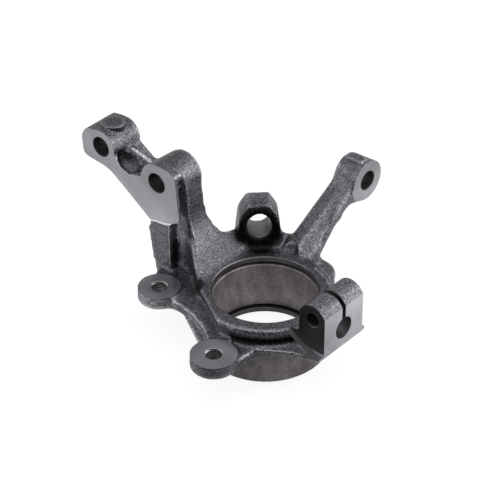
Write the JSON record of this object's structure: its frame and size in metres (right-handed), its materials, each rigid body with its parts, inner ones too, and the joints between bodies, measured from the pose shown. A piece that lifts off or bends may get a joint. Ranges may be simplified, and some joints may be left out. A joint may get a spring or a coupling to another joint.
{
  "type": "steering knuckle",
  "caption": "Cast-iron front steering knuckle with bearing ring, strut flange, caliper ears, split ball-joint clamp, steering arm and speed-sensor boss.",
  "frame": {"origin": "on the wheel-bearing bore axis, at the shoulder that the bearing sits against; the outboard face that the part rests on lies 5 mm below it", "axes": "+Z along the bore from outboard to inboard, the way the bearing leaves; +Y towards the strut flange (up on the car), -Y towards the ball-joint clamp; +X towards the steering arm and tie-rod eye"},
  "size_m": [0.2078, 0.2232, 0.1244],
  "materials": {
    "cast_iron": "as cast with a fine sand texture, bare machined faces and bores"
  },
  "bodies": {
    "root": {"knuckle": "cast_iron"}
  },
  "joints": []
}
